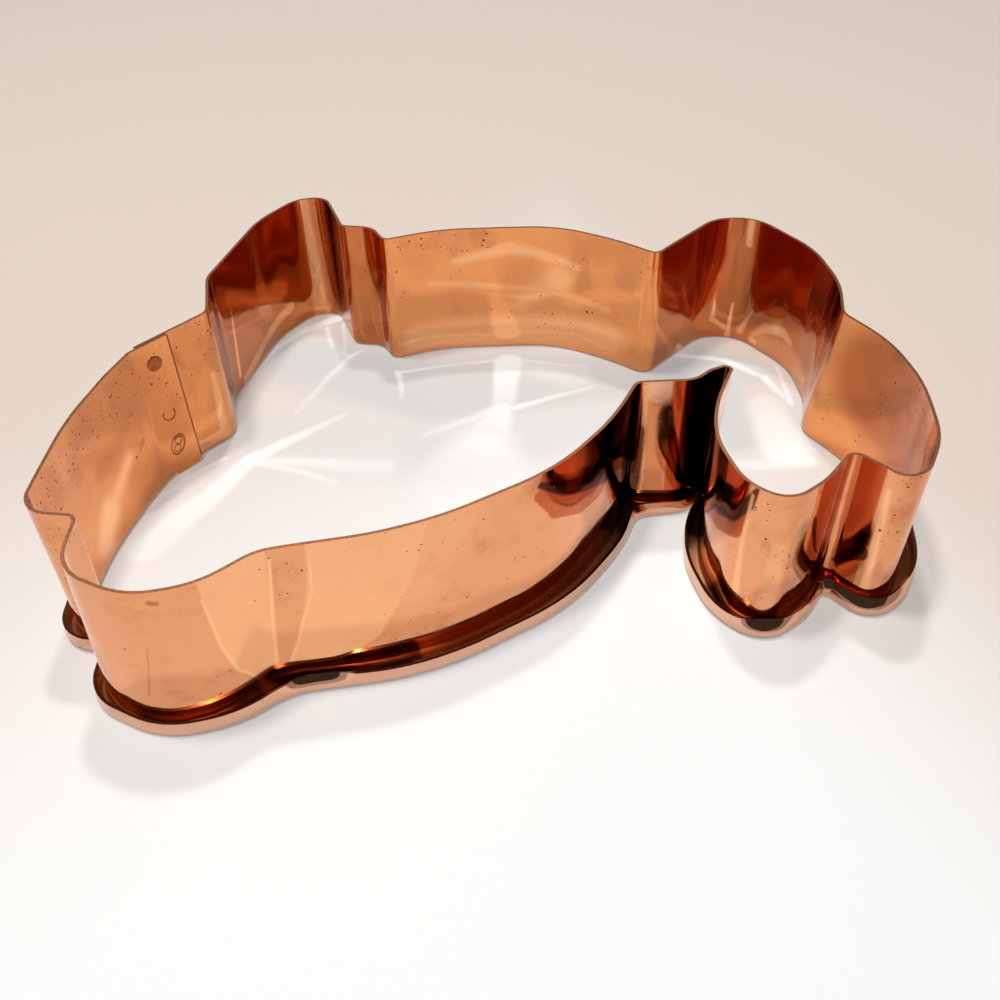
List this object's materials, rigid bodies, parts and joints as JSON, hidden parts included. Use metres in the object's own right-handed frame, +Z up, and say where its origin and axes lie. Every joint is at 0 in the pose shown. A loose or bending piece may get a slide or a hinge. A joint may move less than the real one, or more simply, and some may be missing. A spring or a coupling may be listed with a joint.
{
  "type": "cookie cutter",
  "caption": "Cookie cutter bent from sheet copper into a floppy winter cap with a bobble; its foot is folded into a gutter and its ends lap in a spot-welded seam.",
  "frame": {"origin": "on the table, under the middle of the box around the cutter", "axes": "+X along the cap's length towards the bobble, +Y towards the back, +Z up to the cutting edge"},
  "size_m": [0.1622, 0.1328, 0.032],
  "materials": {
    "sheet_copper": "polished",
    "weld_copper": "satin"
  },
  "bodies": {
    "root": {"cutter_strip": "sheet_copper", "weld_upper": "weld_copper", "weld_middle": "weld_copper", "weld_lower": "weld_copper"}
  },
  "joints": []
}
